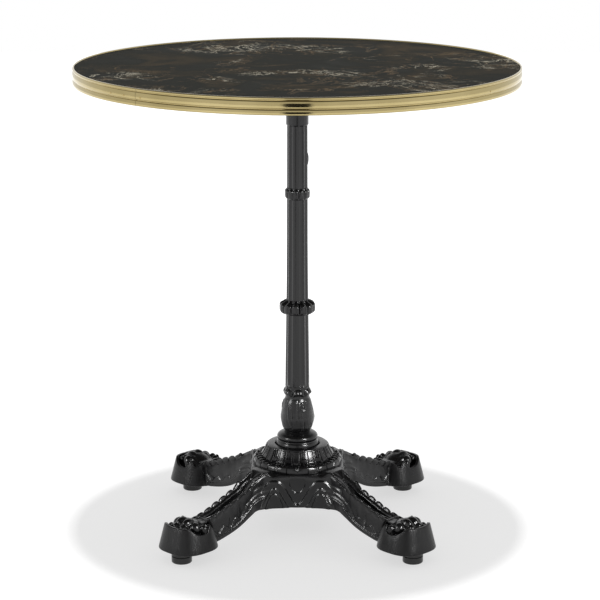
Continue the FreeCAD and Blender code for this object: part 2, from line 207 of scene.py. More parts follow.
# ---- column ---------------------------------------------------------------------------------
FLUTES = 12
FLUTE_PHASE = FRONT + 8.0  # azimuth of one arris between flutes
CROWN_LEAVES = 6
CROWN_PHASE = FRONT + 6.0  # azimuth of the middle of one leaf tip above the bulb
BULB_LEAVES = 3
RIB_PHASE = FRONT - 2.0  # azimuth of the beaded rib of one leaf of the bulb
BORE_RADIUS = 10.0
SPIGOT_RADIUS = 20.0  # the plain end in the hub
SEAT = 126.0  # height where the column stands in the hub's recess
COLUMNS_PER_FLUTE = 26  # how finely the column is divided round its axis

SHAFT_RADIUS = [  # height, radius of the plain shaft under its ornament
    (233, 19.5), (277, 19.0), (310, 18.5), (354, 18.0), (378, 17.6), (409, 17.2),
    (474, 16.7), (541, 16.6), (559, 16.5), (658, 16.2),
]
LOWER_COLLAR = [
    (354, 18.0), (355, 21.5), (356.6, 25.3), (358.3, 27.3), (359.9, 28.5), (361.6, 28.8),
    (366, 28.9), (371.4, 28.5), (373.1, 27.2), (374.7, 24.5), (376.4, 20.5), (378, 17.5),
]
UPPER_COLLAR = [
    (541, 16.6), (542.3, 17.9), (543.9, 19.4), (545.5, 19.9), (550, 20.1), (555, 19.8),
    (556.7, 19.0), (558.5, 17.0), (559.5, 16.5),
]
NECK = [(216, 19.6), (220, 19.0), (226, 19.0), (231, 19.3), (236, 19.5)]
LEAF_CROWN = [
    (216, 19.6), (221.2, 19.4), (222.4, 20.8), (224, 22.9), (226, 23.9), (228.6, 22.8),
    (230, 21.8), (231.5, 20.6), (232.5, 19.3), (236, 19.5),
]
BULB = [
    (160, 20.8), (161, 21.1), (164.6, 23.3), (168, 24.8), (173, 26.0), (178, 27.0),
    (183, 27.4), (190, 26.4), (195, 25.7), (200, 24.8), (205, 23.8), (212, 22.0), (216, 20.2),
]
# A bulb vein: degrees from the rib at its top, drift and power of the drift towards its foot,
# half width in degrees, height of its top, how softly it ends there, and its strength.
BULB_VEINS = [
    (8, 9, 1, 2.4, 210, 8, 1.0), (17, 7, 2, 2.2, 202, 8, 1.0),
    (82, 26, 2, 2.6, 206, 20, 0.8), (101, 9, 2, 2.0, 196, 20, 0.5),
]
COLUMN_BASE = [
    (126, 33.2), (129, 34.0), (134, 34.4), (140, 34.3), (143.5, 33.2), (145.6, 31.7),
    (147, 31.8), (149, 32.7), (151.5, 32.9), (154, 31.9), (156.5, 29.2), (158.6, 25.0), (160, 21.2),
]


def column_heights():
    """Heights of the column's rings: close together where it is ornate."""
    stretches = [
        (SEAT, 160, 0.75), (160, 217, 0.8), (217, 236, 0.5), (236, 353, 9.0), (353, 379, 0.5),
        (379, 540, 11.0), (540, 560, 0.5), (560, 592, 11.0), (592, 616, 1.5), (616, 658, 11.0),
    ]
    heights = [np.arange(low, high, step) for low, high, step in stretches]
    return np.concatenate(heights + [[658.0]])


def flutes(z, turn):
    """Depth of the concave flutes; turn runs from -1 at one arris to 1 at the next."""
    hollow = 1.5 * np.clip(1 - (turn / 0.93) ** 2, 0, 1)
    return hollow * rise(z - 236, 5)


def collar(z, turn, table, mid, arch, groove, dish):
    """Radius of a collar of round lobes whose upper edges arch between V notches."""
    plain_radius = table[0][1]
    full_radius = max(radius for _, radius in table)
    lowered = z + arch * np.abs(turn) ** 1.6 * rise(z - mid, 3)
    away = (1 - np.abs(turn)) * math.pi * full_radius / FLUTES
    radius = straight(lowered, table)
    body = np.clip((radius - plain_radius) / (full_radius - plain_radius), 0, 1)
    return radius - body * (groove * line(away, 0.9) + dish * turn**2)


def crown_leaves(z, across):
    """Radius of the crown of leaf tips that curl out above the bulb; across runs -1 to 1 on a tip."""
    tip = np.clip(1 - np.abs(across / 0.97) ** 2.6, 0, 1) ** 0.7
    dropped = z + 3.4 * np.abs(across) ** 2
    spine = 0.8 * line(across * 9, 0.9) * rise(z - 221, 3)
    return straight(z, NECK) * (1 - tip) + (straight(dropped, LEAF_CROWN) - spine) * tip


def bulb_leaves(z, turn):
    """Height of the bulb's relief; turn runs in degrees from one leaf's beaded rib to the next."""
    drop = np.clip((216 - z) / 56, 0, 1)
    beads = 0.9 + 0.1 * np.cos(2 * np.pi * z / 5.4)
    rib = beads * line(spread(turn, 360.0 / BULB_LEAVES), 2.4) * rise(z - 180, 14)
    veins = 0.0
    for start, drift, power, width, top, soft, strength in BULB_VEINS:
        vein = line(turn - start - drift * drop**power, width) * rise(top - z, soft)
        veins = veins + strength * vein
    fine = 0.14 * np.cos(2 * np.pi * turn / 7.0) * rise(turn - 38, 8) * rise(78 - turn, 8)
    away = np.hypot((turn - 25) / 12.0, (z - 204) / 8.0)
    curl = 1.7 * bump(away, 1.0) - 1.2 * line(away - 0.5, 0.17)
    return rise(z - 163, 6) * rise(215 - z, 4) * (rib + 0.9 * veins + fine + curl)


def column_radius(z, angle):
    """Radius of the column's outside at each height and azimuth."""
    flute = spread(angle - FLUTE_PHASE - 180.0 / FLUTES, 360.0 / FLUTES) / (180.0 / FLUTES)
    leaf = spread(angle - CROWN_PHASE, 360.0 / CROWN_LEAVES) / (180.0 / CROWN_LEAVES)
    from_rib = (angle - RIB_PHASE) % (360.0 / BULB_LEAVES)
    radius = straight(z, SHAFT_RADIUS) - flutes(z, flute)
    low = collar(z, flute, LOWER_COLLAR, mid=366, arch=3.6, groove=1.7, dish=1.3)
    low = low - 0.7 * line((flute - 0.25) * 7.5, 0.5) * rise(371 - z, 2) * rise(z - 358, 2)
    high = collar(z, flute, UPPER_COLLAR, mid=551, arch=2.6, groove=1.0, dish=0.8)
    bulb = curve(z, BULB) - 0.4 + bulb_leaves(z, from_rib)
    radius = np.where((z > 354) & (z < 378), np.maximum(low, radius), radius)
    radius = np.where((z > 541) & (z < 559.5), np.maximum(high, radius), radius)
    radius = np.where((z >= 216) & (z < 236), crown_leaves(z, leaf), radius)
    radius = np.where((z >= 160) & (z < 216), bulb, radius)
    radius = np.where(z < 160, curve(z, COLUMN_BASE), radius)
    east = np.abs(spread(angle, 360.0)) * math.radians(1) * radius
    lug = 2.3 * bump(np.hypot((z - 605) / 10.5, east / 3.4), 1.0)
    return radius + lug


def column_piece():
    """The whole column: its foot's spigot, ornament, fluted shaft, top spigot and bore."""
    angle = np.arange(0, 360, 360.0 / (FLUTES * COLUMNS_PER_FLUTE))[None, :]
    z = column_heights()[:, None]
    outside = turned(column_radius(z, angle), z, angle)
    below = [(BORE_RADIUS, COLUMN_FOOT), (SPIGOT_RADIUS, COLUMN_FOOT), (SPIGOT_RADIUS, SEAT)]
    above = [
        (17.9, 660.5), (17.9, COLUMN_TOP - 7), (14.2, COLUMN_TOP - 7), (14.2, COLUMN_TOP - 0.6),
        (13.6, COLUMN_TOP), (BORE_RADIUS, COLUMN_TOP),
    ]
    low_rings = turned(np.array(below)[:, :1], np.array(below)[:, 1:], angle)
    high_rings = turned(np.array(above)[:, :1], np.array(above)[:, 1:], angle)
    points, faces = looped(np.concatenate([low_rings, outside, high_rings]))
    return add_piece(
        "column_casting", points, faces, "table", ["column_casting"], [iron()],
    )


# ---- hub rings of the base ------------------------------------------------------------------
KEY_REPEATS = 14
KEY_PHASE = FRONT - 2.0  # azimuth of the middle of one bar of the crown
TABLET_REPEATS = 13
RIB_REPEATS = 36
RECESS_RADIUS = 36.2
CONE_TOP = (48.4, 138.0)
CONE_BOTTOM = (57.8, 120.0)


def plateau(x, half, soft):
    """1 within half of zero, 0 outside, with a slope soft wide."""
    return np.clip((half - np.abs(x)) / soft + 0.5, 0, 1)


def edge_columns(repeats, edges, width, soft, phase):
    """Azimuths with a pair of columns at each edge of a repeated pattern, and some between."""
    places = sorted(set(edges) | {-e for e in edges} | {0.0, width / 2})
    places = [p for p in places if -width / 2 < p <= width / 2]
    offsets = []
    for i, place in enumerate(places):
        following = places[(i + 1) % len(places)] + (width if i + 1 == len(places) else 0)
        offsets += [place - soft / 2, place + soft / 2]
        if following - place > 2.2:
            offsets.append((place + following) / 2)
    offsets = np.sort(spread(np.array(offsets), width))
    step = 360.0 / repeats
    return np.concatenate([phase + step * k + offsets / width * step for k in range(repeats)])


def key_height(x, t, width):
    """Relief of the crown: plain bars with ribbed edges, and panels with a U-shaped groove."""
    bar = 0.5 * plateau(x, 4.9, 0.5) + 1.0 * plateau(np.abs(x) - 4.3, 0.55, 0.4)
    across = spread(x - width / 2, width)
    slot_low = rise(0.64 - t, 0.08)
    groove = plateau(np.abs(across) - 2.3, 0.8, 0.4) * slot_low
    panel = 1.5 * plateau(across, 4.75, 0.5) - 1.7 * groove - 0.35 * plateau(across, 1.5, 0.4) * slot_low
    return (bar + panel) * rise(t - 0.05, 0.08) * rise(0.97 - t, 0.06)


def crown_ring():
    """Flat ring round the column's foot and the cone of key panels below it."""
    width = 2 * math.pi * 53.0 / KEY_REPEATS
    edges = [1.5, 3.75, 4.9, width / 2 - 4.75, width / 2 - 3.1, width / 2 - 1.5]
    angle = edge_columns(KEY_REPEATS, edges, width, 0.45, KEY_PHASE)[None, :]
    x = spread(angle - KEY_PHASE, 360.0 / KEY_REPEATS) / (360.0 / KEY_REPEATS) * width
    t = np.linspace(0, 1, 34)[:, None]
    relief = key_height(x, t, width)
    radius = CONE_TOP[0] + (CONE_BOTTOM[0] - CONE_TOP[0]) * t + 0.9 * relief - 0.8 * np.sin(np.pi * t)
    z = CONE_TOP[1] + (CONE_BOTTOM[1] - CONE_TOP[1]) * t + 0.45 * relief
    cone = turned(radius, z, angle)
    inner = [(RECESS_RADIUS + 8, 114), (RECESS_RADIUS, 114), (RECESS_RADIUS, HUB_TOP - 0.8)]
    inner += [(RECESS_RADIUS + 0.8, HUB_TOP), (47.4, HUB_TOP), (48.2, HUB_TOP - 0.35)]
    outer = [(58.0, 114)]
    low = turned(np.array(inner)[:, :1], np.array(inner)[:, 1:], angle)
    high = turned(np.array(outer)[:, :1], np.array(outer)[:, 1:], angle)
    return looped(np.concatenate([low, cone, high]))


def rib_ring():
    """Flat ring of radial ribs in the valley outside the cone."""
    angle = np.arange(0, 360, 360.0 / (RIB_REPEATS * 10))[None, :]
    turn = spread(angle - FRONT, 360.0 / RIB_REPEATS) / (180.0 / RIB_REPEATS)
    outline = [(55, 110), (55, 118.4), (57.5, 118.6), (60, 118.6), (62.5, 118.4), (64.5, 117.9)]
    outline += [(66.5, 117.0), (68.0, 115.8), (69.0, 114.2), (69.0, 110)]
    outline = np.array(outline, float)
    height = np.array([0, 0.5, 1, 1, 1, 1, 0.9, 0.6, 0.2, 0])[:, None]
    z = outline[:, 1:] - 2.6 + 1.5 * height * bump(turn, 0.6)
    return looped(turned(outline[:, :1], z, angle))


def tablet_ring():
    """Rounded band under the crown, cut into tablets, with a small V notch in each."""
    width = 2 * math.pi * 71.0 / TABLET_REPEATS
    edges = [0.5, 1.3, 2.2, width / 2 - 0.75]
    angle = edge_columns(TABLET_REPEATS, edges, width, 0.5, FRONT)[None, :]
    x = spread(angle - FRONT, 360.0 / TABLET_REPEATS) / (360.0 / TABLET_REPEATS) * width
    outline = [(64.0, 110), (66.6, 115.6), (67.6, 117.4), (68.7, 117.9), (69.8, 117.3)]
    outline += [(70.8, 115.9), (71.6, 113.8), (72.1, 111.4), (72.2, 109.0), (71.8, 106.8)]
    outline += [(71.0, 105.0), (69.6, 103.6), (67.6, 102.8), (64.0, 102.8)]
    outline = np.array(outline, float)
    cut = 1.7 * plateau(spread(x - width / 2, width), 0.55, 0.5)
    notch_half = np.clip((outline[:, 1:] - 109.5) / 7.0, 0, 1) * 2.3
    notch = 1.5 * np.clip((notch_half - np.abs(x)) / 0.6, 0, 1)
    keep = np.ones((len(outline), 1))
    keep[[0, -1]] = 0
    radius = outline[:, :1] - keep * (cut + notch)
    return looped(turned(radius, outline[:, 1:], angle))


# ---- base casting as a field ----------------------------------------------------------------
# The field is worked out over one eighth of the base. reach runs along a leg from the column's
# axis, side runs across the leg, and the other eighths are mirror images and quarter turns.
VOXEL = 0.8
BASE_FACES = 134000
FIELD_REACH = 290
FIELD_SIDE = 66
FIELD_BOTTOM = FOOT_Z - 4
FIELD_TOP = 128
LEG_AZIMUTHS = (45, 135, 225, 315)
FOOT_REACH = GLIDE_REACH - 14.1  # axis to the middle of a foot
FOOT_HALF = 43.0  # half width of a foot at the bottom
FOOT_POWER = 2.65  # how square a foot is: 2 is round
FOOT_LEAN = 9.0 / 39.0  # how far a foot's wall leans in per unit of height
FOOT_WALL = 4.2
CASTING_WALL = 5.0
HUB_WEB = 96.0  # underside of the hub
ROD_HOLE = 6.6  # radius of the tie rod's hole
STUD_HOLE = 5.1  # radius of the hole for a glide's stud
BOSS_RADIUS = 11.5  # boss round a stud's hole
POCKET_ROOF = 40.0  # top of the hollow below a foot

SHOULDER = [  # height of a leg's top along its two edges
    (0, 110), (60, 110), (80, 110.4), (88, 109.4), (98, 105.4), (114, 97.6), (122, 92.2),
    (126, 88.2), (142, 81.2), (158, 75), (170, 70.8), (190, 63.4), (205, 59.6), (225, 58.6),
]
LOWER_EDGE = [  # height of a leg's lower edge
    (0, 50), (75, 51.5), (86, 51.8), (100, 51.8), (108, 51), (118, 47.6), (126, 43.7), (141, 35.7),
    (161, 28.6), (178, 24.6), (192, 22.2), (215, 21),
]
SIDE_LOW = [  # half width of a leg at its lower edge
    (0, 30), (60, 29), (78, 25), (95, 20), (109, 18), (125, 17), (200, 17), (225, 18),
]
# Half width and depth of the slot in a leg's top.
SLOT_HALF = [(103, 0), (110, 3.0), (120, 4.8), (150, 5.4), (180, 5.0), (198, 3.0), (209, 0)]
SLOT_DEPTH = [(103, 0), (112, 5), (125, 7), (180, 6), (200, 4), (209, 0)]
DISH = [(88, 0), (108, 0.3), (180, 0.3), (209, 0)]  # how steeply a leg's top dips towards its slot
SLOT_END = 209.0
FORK = (88.0, 105.0, 10.5)  # the rims part at the hub: reach of their ends, of the fork, half spread
RIM_BEAD = 0.8  # radius of the bead along a rim
RIM_GAP = 0.3  # from the slot's edge to the middle of the bead
EDGE_BEAD_START = 116.0  # reach where the bead on the edge of a leg's top starts
LEG_HALF = 14.5  # half width of a leg's top
LEG_FLANGE = [  # height of the flange along the lower edge of a leg's side
    (84, 19), (100, 17), (115, 14.5), (128, 12), (140, 9), (155, 7.8), (222, 7.5),
]
SERRATION = 15.8  # length of one lobe along a leg
LAST_LOBE = 203.0  # reach of the middle of the outermost lobe
LOBE_START = 117.0
LOBE_HEIGHT = 4.4

RIM_HEIGHT = [  # azimuth round a foot from its outer end, height of its rim
    (0, 61), (20, 61.5), (42, 61.5), (52, 60), (62, 55.6), (73, 51.4), (86, 49.8), (98, 49.7),
    (106, 52), (112, 57.5), (117, 61), (122, 59.5), (127, 54.5), (132, 53), (140, 56), (150, 60),
    (180, 60),
]
# Distance of the apron's face from the axis, by height.
APRON_FACE = [(46, 71.6), (55, 72.4), (75, 75.0), (90, 77.4), (100, 78.2), (107, 77.2)]
APRON_TOP = 106.0
HUB_FLANGE_RADIUS = 78.5  # flat flange round the tablets
RIBBON_HALF_WAVE = 37.0  # along the apron, from the middle of a face to the ribbon's crest
RIBBON_SWING = 20.5
RIBBON_HALF = 5.75  # half width of the ribbon
RIBBON_LEVEL = 71.0
ARCH_TOP = 77.0
TONGUE_FOOT = 76.0
RELIEF_MIDDLE = 3.4  # relief that stands level with the plain face


# Claw in a foot: places are (out, across, up) from the middle of the foot.
CLAW_FLOOR = 44.0
CLAW_CREASE = 0.9
CLAW_EGGS = [  # centre, radii
    ((0, 0, 46), (25, 26, 21)),  # dome under the knuckles
    ((-29, 0, 47), (15, 17, 12.5)),  # saddle towards the leg
    ((6.0, 6.8, 62.0), (11.5, 7.4, 8.2)),  # knuckles
    ((2.4, 18.5, 55.5), (9.0, 9.2, 10.4)),
    ((-7.0, 27.5, 53.5), (5.6, 6.4, 8.6)),
    ((18.2, 18.6, 57.0), (4.6, 4.6, 4.6)),  # toes
    ((18.0, 8.0, 57.5), (6.2, 5.6, 5.6)),
    ((26.0, 0, 55.5), (5.4, 4.6, 5.2)),
]
CLAW_RODS = [  # both ends, radius at each
    ((13.5, 2, 63), (23.5, 23, 57), 1.9, 1.6),  # fold between knuckles and toes
    ((-3, 14, 60), (-17, 14, 52.5), 5.8, 5.0),  # tendons towards the leg
    ((-3, 3, 62), (-22, 3, 53), 5.2, 4.6),
    ((-10, 21, 54), (-20, 20.5, 50), 4.4, 3.8),
]


def wedge_grid():
    """Sparse coordinate arrays of the eighth: reach, side and height."""
    reach = np.arange(0, FIELD_REACH, VOXEL)
    side = np.arange(0, FIELD_SIDE, VOXEL)
    height = np.arange(FIELD_BOTTOM, FIELD_TOP, VOXEL)
    return np.meshgrid(reach, side, height, indexing="ij", sparse=True)


def lobes(reach):
    """0 to 1 along a leg: one rounded lobe per serration."""
    phase = ((LAST_LOBE - reach) / SERRATION + 0.5) % 1.0
    return bump(phase - 0.5, 0.48) * rise(reach - LOBE_START, 3) * rise(SLOT_END - reach, 3)


def rim_side(reach):
    """Distance from a leg's middle to the rim of its slot, which forks out towards the hub."""
    ends, fork, spread_half = FORK
    fork_line = np.clip((fork - reach) / (fork - ends), 0, 1) * spread_half
    return straight(reach, SLOT_HALF) + fork_line + RIM_GAP


def leg_top(reach, side):
    """Height of a leg's top: it dips from lobed edges to a pointed slot with a thin rim."""
    half = straight(reach, SLOT_HALF)
    hollow = np.clip(1 - (side / np.maximum(half, 0.3)) ** 2, 0, 1) ** 0.4
    dip = straight(reach, DISH) * np.clip(LEG_HALF - np.maximum(side, half), 0, None)
    top = curve(reach, SHOULDER) - dip - curve(reach, SLOT_DEPTH) * hollow
    rim = RIM_BEAD * line(side - rim_side(reach), 1.1)
    rim = rim * rise(reach - FORK[0], 2) * rise(SLOT_END + 1.0 - reach, 6)
    return top + rim + LOBE_HEIGHT * lobes(reach) * bump(side - LEG_HALF - 0.4, 3.6)


def side_relief(reach, height, edge):
    """How far a leg's side stands out: a flange with a hatched edge, below a wavy raised step."""
    flange_top = edge + curve(reach, LEG_FLANGE)
    wave = flange_top + 7.5 + 4.2 * np.sin(2 * np.pi * (reach - 96) / 25.0)
    step = 1.2 * rise(wave - height, 1.2) * rise(reach - 116, 8) * rise(204 - reach, 8)
    flange = 1.4 * rise(flange_top - height, 1.2)
    hatch = 0.3 * np.cos(2 * np.pi * reach / 3.2) * line(height - flange_top + 0.6, 1.1)
    return step + (flange + hatch) * rise(reach - 90, 6) * rise(222 - reach, 12)


def leaf_relief(reach, height, edge):
    """Long smooth leaf at the top of a leg's side, where the ribbon of the apron runs out."""
    above = height - edge - curve(reach, LEG_FLANGE)
    below_top = curve(reach, SHOULDER) - height
    veins = line(above - 2.0, 1.5) + line(above - 9.5, 2.0)
    veins = veins + line(above - 17.5, 2.2) * rise(112 - reach, 8)
    bead = line(5.0 - below_top, 1.3) - 0.8 * line(2.2 - below_top, 1.2)
    leaf = veins * rise(reach - 85, 8) * rise(122 - reach, 10)
    return 1.5 * (leaf + bead * rise(reach - 84, 6) * rise(122 - reach, 6))


def leg_walls(reach, side, height):
    """A leg without its top surface."""
    edge = curve(reach, LOWER_EDGE)
    shoulder = curve(reach, SHOULDER)
    lobe = lobes(reach)
    bulge = 1.7 * rise(height - shoulder + 6.0 * lobe - 0.5, 1.4) * rise(lobe - 0.1, 0.1)
    low = curve(reach, SIDE_LOW)
    share = np.clip((height - edge) / np.maximum(shoulder - 3 - edge, 1), 0, 1)
    half = low + (LEG_HALF + bulge - low) * share
    relief = side_relief(reach, height, edge) + leaf_relief(reach, height, edge)
    body = meet(side - half - relief + 1.4, edge - height, 1.4)
    return meet(body, reach - 226, 1.0)


def ribbon_level(x, height):
    """Relief of the apron: terraces that step down towards a tongue in the middle of each face."""
    turn = np.pi * np.clip(x, 0, 60) / RIBBON_HALF_WAVE
    slope = RIBBON_SWING * np.pi / RIBBON_HALF_WAVE * np.sin(turn)
    off_ribbon = (height - RIBBON_LEVEL + RIBBON_SWING * np.cos(turn)) / np.sqrt(1 + slope**2)
    ribbon = rise(RIBBON_HALF - off_ribbon, 3.4)
    below = rise(-RIBBON_HALF - off_ribbon, 3.2)
    arch = rise(ARCH_TOP - (x - RIBBON_HALF_WAVE) ** 2 / 8.6 - height, 2.8)
    tongue = rise(height - TONGUE_FOOT - (x / 3.5) ** 2, 1.8) * rise(12.2 - x, 1.8)
    tongue = tongue * rise(97 - height, 18)
    return 3.0 * ribbon + 2.6 * below + 2.0 * arch * below - 2.0 * tongue


def upper_field(reach, side, height):
    """Legs and apron together, with the ribbon's relief on the apron."""
    x = np.abs(reach - side) / ROOT_2
    out = (reach + side) / ROOT_2
    apron = out - curve(height, APRON_FACE)
    walls = join(leg_walls(reach, side, height), apron, 10.0)
    on_face = rise(out - 60, 12) * rise(56 - x, 14)
    relief = (ribbon_level(x, height) - RELIEF_MIDDLE) * on_face
    walls = meet(walls - relief, curve(reach, LOWER_EDGE) - height, 1.4)
    beyond = np.clip(np.hypot(reach, side) - HUB_FLANGE_RADIUS, 0, None)
    ledge = APRON_TOP - 0.7 * beyond - 3.0 * np.clip(reach - 97, 0, None)
    leg = leg_top(reach, side) - 1.0 * np.clip(side - LEG_HALF - 2, 0, None)
    top = meet(leg, ledge, 5.0)
    return meet(walls, height - top, 1.2)


def hub_field(reach, side, height):
    """The drum in the middle that carries the hub's rings."""
    radius = np.hypot(reach, side)
    return np.maximum(meet(radius - 67.0, height - 114.0, 1.0), 98.0 - height)


def hub_hollows(reach, side, height):
    """Field of everything cut out of the hub: the recess, the rod's hole and the pockets below."""
    radius = np.hypot(reach, side)
    out = (reach + side) / ROOT_2
    recess = np.maximum(radius - RECESS_RADIUS - 1.0, SEAT - height)
    spigot = np.maximum(radius - SPIGOT_RADIUS - 0.2, COLUMN_FOOT - 0.5 - height)
    hole = radius - ROD_HOLE
    groove = np.maximum(np.abs(radius - 40) - 10, height - 112)
    face = 67.0 + 2.0 * (height - 49) / 47
    pocket = np.maximum(np.maximum(out - face, reach - 80), height - HUB_WEB)
    hollow = np.minimum(np.minimum(recess, spigot), np.minimum(hole, groove))
    return np.minimum(hollow, pocket)


def leg_hollow(reach, side, height):
    """Channel below a leg."""
    edge = curve(reach, LOWER_EDGE)
    low = curve(reach, SIDE_LOW) - CASTING_WALL
    roof = np.minimum(leg_top(reach, 0.0) - CASTING_WALL, HUB_WEB)
    roof = np.maximum(roof, edge + 8)
    share = np.clip((height - edge) / (roof - edge), 0, 1)
    half = low + (9.0 - low) * share
    inside = meet(side - half, height - roof, 2.0)
    return np.maximum(inside, reach - 208)


def foot_out(along_leg, side, height):
    """Distance outside a foot's rounded-square wall, which leans in as it rises."""
    half = FOOT_HALF - FOOT_LEAN * (height - FOOT_Z)
    plan = (np.abs(along_leg) ** FOOT_POWER + side**FOOT_POWER) ** (1 / FOOT_POWER)
    return plan - half


def foot_field(reach, side, height):
    """One foot: a cup with a scooped rim."""
    s = reach - FOOT_REACH
    out = foot_out(s, side, height)
    azimuth = np.degrees(np.arctan2(side, s))
    rim = curve(azimuth, RIM_HEIGHT)
    cup = meet(out, height - rim, 1.3)
    cup = meet(cup, FOOT_Z - height, 2.4)
    inside = np.maximum(out + FOOT_WALL, 47.0 - height)
    return np.maximum(cup, -inside)


def leg_end(reach, side, height):
    """Room well inside a foot's wall, where the claw takes over from the leg."""
    inside = foot_out(reach - FOOT_REACH, side, height) + 15.0
    return np.where(reach < FOOT_REACH - 20, 1e3, inside)


def foot_pocket(reach, side, height):
    """Hollow below a foot, round the boss that holds the glide's stud."""
    s = reach - FOOT_REACH
    pocket = np.maximum(foot_out(s, side, height) + CASTING_WALL, height - POCKET_ROOF)
    radius = np.hypot(reach - GLIDE_REACH, side)
    boss = np.maximum(radius - BOSS_RADIUS, FOOT_Z + 2 - height)
    tapped = np.maximum(radius - STUD_HOLE, height - 46)
    return np.minimum(np.maximum(pocket, -boss), tapped)


def claw_field(reach, side, height):
    """Knuckles, toes and leaf curls that fill a foot, like a paw gripping its edge."""
    p = (reach - FOOT_REACH, side, height)
    parts = [egg(p, *each) for each in CLAW_EGGS] + [rod(p, *each) for each in CLAW_RODS]
    body = parts[0]
    for part in parts[1:]:
        body = join(body, part, CLAW_CREASE)
    return np.maximum(body, CLAW_FLOOR - height)


def add_claw(field, grid):
    """Joins the claw to the field, working only in the box round a foot."""
    reach, side, height = grid
    near = reach[:, 0, 0] > FOOT_REACH - 46
    beside = side[0, :, 0] < 48
    above = height[0, 0, :] > 42
    spot = np.ix_(near, beside, above)
    claw = claw_field(reach[near], side[:, beside], height[:, :, above])
    field[spot] = np.minimum(field[spot], claw)


def base_wedge():
    """The whole field over the eighth."""
    grid = wedge_grid()
    field = join(upper_field(*grid), hub_field(*grid), 1.5)
    for hollow in (hub_hollows, leg_hollow, leg_end):
        field = np.maximum(field, -hollow(*grid))
    field = join(field, foot_field(*grid), 2.0)
    add_claw(field, grid)
    field = np.maximum(field, -foot_pocket(*grid))
    return field.astype(np.float32)


def whole_field(wedge):
    """The field over the full square, from the eighth."""
    reaches, sides, _ = wedge.shape
    line_index = np.abs(np.arange(1 - reaches, reaches))
    first, second = line_index[:, None], line_index[None, :]
    along_leg = np.maximum(first, second)
    across_leg = np.minimum(np.minimum(first, second), sides - 1)
    return wedge[along_leg, across_leg]


def base_surface():
    """Points and faces of the field's surface, turned so that the legs lie on the diagonals."""
    band = 3 * VOXEL
    wedge = np.clip(base_wedge(), -band, band)
    grid = openvdb.FloatGrid(band)
    grid.copyFromArray(whole_field(wedge))
    points, triangles, quads = grid.convertToPolygons(0.0, 0.0)
    place = points * VOXEL
    place[:, :2] -= (wedge.shape[0] - 1) * VOXEL
    x, y = place[:, 0], place[:, 1]
    z = place[:, 2] + FIELD_BOTTOM
    turned_points = np.stack([(x - y) / ROOT_2, (x + y) / ROOT_2, z], axis=1)
    return turned_points, triangles[:, ::-1], quads[:, ::-1]


def thinned(points, faces, target):
    """The same surface with about target triangles."""
    mesh = bpy.data.meshes.new("thinning")
    mesh.from_pydata(points, [], faces)
    holder = bpy.data.objects.new("thinning", mesh)
    bpy.context.scene.collection.objects.link(holder)
    mesh.calc_loop_triangles()
    modifier = holder.modifiers.new("thin", "DECIMATE")
    modifier.ratio = min(1.0, target / len(mesh.loop_triangles))
    ready = holder.evaluated_get(bpy.context.evaluated_depsgraph_get()).to_mesh()
    count = len(ready.vertices)
    flat = np.empty(count * 3, np.float32)
    ready.vertices.foreach_get("co", flat)
    result = [list(p.vertices) for p in ready.polygons]
    bpy.data.objects.remove(holder)
    bpy.data.meshes.remove(mesh)
    return flat.reshape(-1, 3), result


def grain_amount(points):
    """1 on the rough sand-cast walls of the feet, 0 on the smoother rest."""
    x = np.abs(points[:, 0] + points[:, 1]) / ROOT_2
    y = np.abs(points[:, 1] - points[:, 0]) / ROOT_2
    reach, side, height = np.maximum(x, y), np.minimum(x, y), points[:, 2]
    out = foot_out(reach - FOOT_REACH, side, height)
    return rise(out + 2.0, 1.5) * rise(reach - FOOT_REACH + 40, 6)


def add_grain(piece, amount):
    """Stores the amount of grain at each point, for the iron's finish."""
    layer = piece.data.attributes.new("grain", "FLOAT", "POINT")
    layer.data.foreach_set("value", np.asarray(amount, np.float32))


def slot_rim(azimuth, mirror):
    """Bead along one edge of a leg's top, round its end at the hub and down one rim of the slot."""
    ends, _, spread_half = FORK
    along_edge = np.linspace(EDGE_BEAD_START, ends + 0.5, 14)
    along_slot = np.linspace(ends, SLOT_END - 1.0, 72)
    reach = np.concatenate([along_edge, along_slot])[:, None]
    edge_side = np.full_like(along_edge, spread_half + RIM_GAP)
    side = np.concatenate([edge_side, rim_side(along_slot)])[:, None] * mirror
    height = leg_top(reach, np.abs(side)) - 0.1
    share = np.linspace(0, 1, len(reach))[:, None]
    taper = np.clip(np.minimum(share, 1 - share) * 30, 0.1, 1)
    turn = np.linspace(0, 2 * np.pi, 6, endpoint=False)[None, :]
    across = side + RIM_BEAD * taper * np.cos(turn)
    up = height + RIM_BEAD * taper * np.sin(turn)
    angle = math.radians(azimuth)
    x = reach * math.cos(angle) - across * math.sin(angle)
    y = reach * math.sin(angle) + across * math.cos(angle)
    return capped(np.stack([x, y, up], axis=-1))


def slot_rims():
    """Both beads of every leg."""
    return [slot_rim(azimuth, mirror) for azimuth in LEG_AZIMUTHS for mirror in (-1, 1)]


def base_piece():
    """The base casting: the field's surface, the hub's rings and the rims of the legs' slots."""
    points, triangles, quads = base_surface()
    faces = triangles.tolist() + quads.tolist()
    body = thinned(points, faces, BASE_FACES)
    hub_rings = [crown_ring(), rib_ring(), tablet_ring()]
    points, faces = merged([body] + hub_rings + slot_rims())
    piece = add_piece(
        "base_casting", points, faces, "table", ["base_casting"], [iron()],
    )
    add_grain(piece, grain_amount(points))
    return piece


# ---- rim band and sheet ---------------------------------------------------------------------
BAND_JOINT_ANGLE = 228.0
BAND_GAP = 0.5
BAND_RINGS = 1081  # cross-sections along the band


